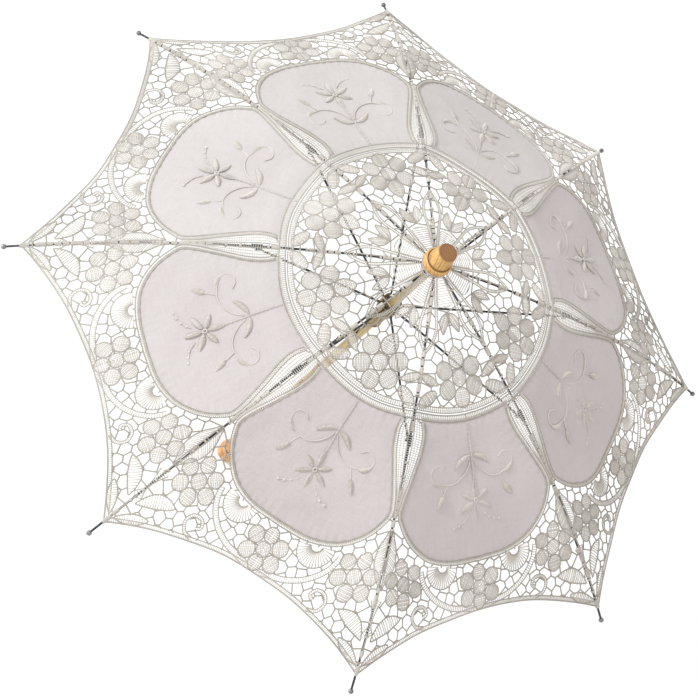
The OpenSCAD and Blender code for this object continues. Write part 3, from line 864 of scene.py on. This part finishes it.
def wander(p, amount):
    """The small unevenness of hand-made lace, the same for every piece at one place."""
    x, y = p[:, 0], p[:, 1]
    r = np.hypot(x, y)
    fade = np.clip((r - 20) / 60, 0, 1)
    dx = np.sin(x / 23 + 0.7) * np.cos(y / 31 + 1.9) + 0.6 * np.sin(x / 11 + y / 14)
    dy = np.sin(y / 27 + 2.3) * np.cos(x / 19 + 0.4) + 0.6 * np.cos(x / 13 - y / 12)
    return np.stack([dx * fade * amount, dy * fade * amount], 1)


def to_gore(v, middle, mirror):
    """Plan points (x, y, height) of a half gore to millimetres in the row frame."""
    x, y, h = v[:, 0], v[:, 1], v[:, 2]
    s = y / COS
    slope = rib_slope(s) / COS
    across_gore = np.clip(x / np.maximum(y * TAN, 1e-6), -1, 1)
    sag = -0.011 * np.clip(y - 20, 0, 400) * (1 - across_gore ** 2) ** 2
    tail = np.clip((y - 225) / 45, 0, 1)
    sag = sag * (1 - 0.5 * tail)
    n = np.stack([np.zeros_like(x), -slope, np.ones_like(x)], 1)
    n /= np.linalg.norm(n, axis=1)[:, None]
    flat = np.stack([x, y, rib_height(s) + lift(s) + sag], 1) + n * h[:, None]
    ey = np.array([math.cos(middle), math.sin(middle)])
    ex = np.array([math.sin(middle), -math.cos(middle)]) * (-1 if mirror else 1)
    out = np.zeros_like(flat)
    out[:, :2] = flat[:, :1] * ex + flat[:, 1:2] * ey
    out[:, :2] += wander(out, 0.55) * np.clip((285 - np.hypot(out[:, 0], out[:, 1])) / 30, 0, 1)[:, None]
    out[:, 2] = flat[:, 2] + HUB_Z
    return out


def surface_area(v, f):
    """In square metres, from millimetres."""
    a, b, c = (v[f[:, i]] for i in range(3))
    return float(np.linalg.norm(np.cross(b - a, c - a), axis=1).sum() / 2) * 1e-6


def build(name, v, f, materials, tone=None, uv=None, sharp=()):
    """A smooth-shaded piece from triangles, in millimetres."""
    mesh = bpy.data.meshes.new(name)
    mesh.vertices.add(len(v))
    mesh.vertices.foreach_set("co", (v * 0.001).astype(np.float32).ravel())
    mesh.loops.add(len(f) * 3)
    mesh.loops.foreach_set("vertex_index", f.astype(np.int32).ravel())
    mesh.polygons.add(len(f))
    mesh.polygons.foreach_set("loop_start", np.arange(0, len(f) * 3, 3, dtype=np.int32))
    mesh.polygons.foreach_set("use_smooth", np.ones(len(f), bool))
    if tone is not None:
        mesh.polygons.foreach_set("material_index", tone)
    if uv is not None:
        layer = mesh.uv_layers.new(name="cloth")
        layer.data.foreach_set("uv", (uv[f.ravel()] * 0.001).astype(np.float32).ravel())
    for material in materials:
        mesh.materials.append(material)
    mesh.update(calc_edges=True)
    if len(sharp):
        hard = {frozenset(e) for e in sharp}
        mesh.edges.foreach_set("use_edge_sharp", [frozenset(e.vertices) in hard for e in mesh.edges])
    ob = bpy.data.objects.new(name, mesh)
    bpy.context.collection.objects.link(ob)
    return ob


# Cotton of one half petal: a fine triangle grid, with puckers along its sewn edge.
cloth_line = np.vstack([np.array([(x, math.sqrt(113.2 ** 2 - x * x)) for x in np.arange(0, 38.5, 1.5)]),
                        offset_line(side_line, 1.3)[5:-1]])
cloth_line[-1, 0] = max(cloth_line[-1, 0], 0.01)
top_y = side_line[-1, 1] - 1.3
start_y = cloth_line[0, 1]
middle_line = np.stack([np.zeros(64), np.linspace(top_y, start_y, 65)[:-1]], 1)
cloth_line = np.vstack([cloth_line[cloth_line[:, 0] > 1e-6], middle_line, [(0, start_y)]])
gx, gy = np.meshgrid(np.arange(0.9, 74, 1.7), np.arange(104, 215, 1.5))
gx = gx + 0.85 * ((np.arange(len(gy)) % 2)[:, None])
grid = np.stack([gx.ravel(), gy.ravel()], 1)
grid = grid[inside(cloth_line, grid)]
rim = cloth_line
gap = np.full(len(grid), 1e9)
for q in rim:
    gap = np.minimum(gap, np.hypot(*(grid - q).T))
grid = grid[gap > 0.8]
points = np.vstack([rim, grid])
ring_edges = [(i, (i + 1) % len(rim)) for i in range(len(rim))]
vs, _, ts, _, _, _ = geometry.delaunay_2d_cdt([Vector(p) for p in points], ring_edges, [], 1, 1e-5)
cloth_xy = np.array([tuple(v) for v in vs])
cloth_tri = np.array([t for t in ts if len(t) == 3])
a, b, c = (cloth_xy[cloth_tri[:, i]] for i in range(3))
wind = (b - a)[:, 0] * (c - a)[:, 1] - (b - a)[:, 1] * (c - a)[:, 0]
cloth_tri[wind < 0] = cloth_tri[wind < 0][:, ::-1]
sewn = rim[rim[:, 0] > 0.5]
run = run_length(sewn)
gap, at = np.full(len(cloth_xy), 1e9), np.zeros(len(cloth_xy))
for q, s in zip(sewn, run):
    d = np.hypot(*(cloth_xy - q).T)
    closer = d < gap
    gap[closer], at[closer] = d[closer], s


def cotton_height(k):
    """Slack and puckers of gore k's cotton, level across the middle line."""
    x, y = cloth_xy.T
    edge = np.exp(-gap / 5.0) * (1 - np.exp(-gap / 1.2)) * np.clip(x / 6, 0, 1)
    pucker = 0.42 * edge * np.sin(at * 2 * math.pi / (6.3 + 0.5 * math.sin(k)) + k)
    slack = (0.35 * np.cos(x / (13 + k % 3)) * np.cos(y / (17 + (k * 3) % 5) + k)
             + 0.22 * np.cos(x / 7.3) * np.cos(y / 9.1 + 2 * k))
    return pucker + 1.5 * slack * np.clip(gap / 14, 0, 1)


THICK = 0.17  # half the cotton's thickness
n_cloth = len(cloth_xy)
count = {}
for tri in cloth_tri:
    for i in range(3):
        e = (tri[i], tri[(i + 1) % 3])
        count[e] = count.get(e, 0) + 1
open_edges = [(int(i), int(j)) for i, j in count if (j, i) not in count]
hard_edges = open_edges + [(i + n_cloth, j + n_cloth) for i, j in open_edges]
walls = [np.array([[i + n_cloth, j + n_cloth, j], [i + n_cloth, j, i]]) for i, j in open_edges]
cloth_faces = np.vstack([cloth_tri, cloth_tri[:, ::-1] + n_cloth] + walls)
cloth_uv = np.vstack([cloth_xy, cloth_xy])

NETS = [("lace_inner", inner.mesh(), "inner"), ("petal_edging", edging.mesh(), "petal"),
        ("lace_border", border.mesh(), "border")]
satin_v, satin_f, _ = satin.mesh()

# How each zone would fold as the parasol closes; fold() reads this but only gives each piece its own mesh.
# The distance along the rib where it is true, the share of its width that it keeps, and how far its middle is
# turned out, in degrees.
FOLDS = {"inner": (64, 0.34, 9.0), "petal": (170, 0.24, 11.4), "border": (240, 0.19, 14.0)}


def fold(piece, zone, side):
    s, keep, flare = FOLDS[zone]
    slope, flare = math.asin((s - ARC_X) / ARC_R), math.radians(flare)
    height = HUB_Z + float(rib_height(s) + lift(s))
    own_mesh(piece)


# The area of one half petal's cotton in square metres, laid on the surface without its slack.
level = to_gore(np.column_stack([cloth_xy, np.zeros(n_cloth)]), HALF, False)
petal_area = surface_area(level, cloth_tri)
assert abs(petal_area - 0.0059) < 0.0003


for k in range(1, ARMS + 1):
    az = (k - 1) * math.pi / 4
    for side, mirror in ((1, False), (-1, True)):
        middle = az + side * HALF
        gore = k if side > 0 else (k - 2) % ARMS + 1
        tag = f"{k}{'a' if side > 0 else 'b'}"
        flip = (lambda f: f[:, ::-1]) if mirror else (lambda f: f)
        nets = [build(f"{name}_{tag}", to_gore(v, middle, mirror), flip(f), (CORD, FILL), tone)
                for name, (v, f, tone), _ in NETS]
        h = cotton_height(gore)
        cv = np.vstack([np.column_stack([cloth_xy, h + THICK]), np.column_stack([cloth_xy, h - THICK])])
        cotton = build(f"petal_{tag}", to_gore(cv, middle, mirror), flip(cloth_faces), (COTTON,), uv=cloth_uv,
                       sharp=hard_edges)
        stitched = build(f"embroidery_{tag}", to_gore(satin_v, middle, mirror), flip(satin_f), (SATIN,))
        zones = [zone for _, _, zone in NETS]
        for piece, slot, zone in [*zip(nets, ["lace"] * 3, zones), (cotton, "cotton", "petal"),
                                  (stitched, "embroidery", "petal")]:
            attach(piece, f"rib_{k}")
            fold(piece, zone, side)
            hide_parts(f"canopy_{k}")

# Thread that holds the lace to each rib, and the whipping at its corner. The ribs show where
# the loops are few: between these distances from the hub, read off.
BARE = {1: [(34, 62), (90, 109), (119, 158), (199, 208)],
        2: [(30, 50), (60, 68), (86, 97), (129, 151), (186, 275)],
        3: [(40, 60), (94, 108), (120, 158), (190, 226), (236, 273)],
        4: [(20, 40), (50, 61), (84, 119), (126, 146), (190, 208), (225, 240), (260, 276)],
        5: [(28, 56), (64, 72), (84, 95), (119, 155), (192, 211), (221, 240), (260, 274)],
        6: [(28, 46), (58, 68), (81, 89), (124, 140), (196, 209)],
        7: [(34, 58), (66, 73), (87, 95), (126, 157), (188, 197), (202, 211)],
        8: [(30, 51), (66, 75), (128, 158)]}
TURN = 0.72  # from one turn of a tie to the next
TIE_R, TIE_THREAD, TIE_SIDES = 1.45, 0.38, 5
CORNER_WHIP = (286.4, 9)  # distance from the hub, turns


def loops_on_rib(k):
    az = (k - 1) * math.pi / 4
    v, f, n = [], [], 0
    spots = [CORNER_WHIP]
    s = 21.0 + 1.3 * (k % 3)
    while s < 278:
        bare = any(lo < s < hi for lo, hi in BARE[k])
        turns = 2 if bare else 5 + (int(s) + 3 * k) % 6
        half = turns * TURN / 2
        if abs(s + half - SADDLE) > 6 + half:
            spots.append((s + half, turns))
        s += 2 * half + (8.5 if bare else 1.1)
    for s, turns in spots:
        seg = 12 * turns
        a = np.linspace(0, 2 * math.pi * turns, seg)
        u = s + (a / (2 * math.pi) - turns / 2) * TURN
        slope = np.arctan(rib_slope(u))
        rr = TIE_R + 0.25 * np.maximum(np.sin(a), 0)
        centre = np.stack([u - rr * np.sin(a) * np.sin(slope), rr * np.cos(a),
                           rib_height(u) + rr * np.sin(a) * np.cos(slope)], 1)
        t = np.gradient(centre, axis=0)
        t /= np.linalg.norm(t, axis=1)[:, None]
        e1 = np.stack([np.cos(slope), np.zeros_like(u), np.sin(slope)], 1)
        e1 -= (e1 * t).sum(1)[:, None] * t
        e1 /= np.linalg.norm(e1, axis=1)[:, None]
        e2 = np.cross(t, e1)
        b = (np.arange(TIE_SIDES) * 2 * math.pi / TIE_SIDES)[None, :, None]
        ring = centre[:, None] + TIE_THREAD * (np.cos(b) * e1[:, None] + np.sin(b) * e2[:, None])
        v.append(ring.reshape(-1, 3))
        f.append(tube_faces(seg, TIE_SIDES) + n)
        n += seg * TIE_SIDES
    v = np.vstack(v)
    c, s = math.cos(az), math.sin(az)
    out = np.stack([v[:, 0] * c - v[:, 1] * s, v[:, 0] * s + v[:, 1] * c, v[:, 2] + HUB_Z], 1)
    ob = build(f"rib_ties_{k}", out, np.vstack(f), (FILL,))
    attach(ob, f"rib_{k}")


for k in range(1, ARMS + 1):
    loops_on_rib(k)
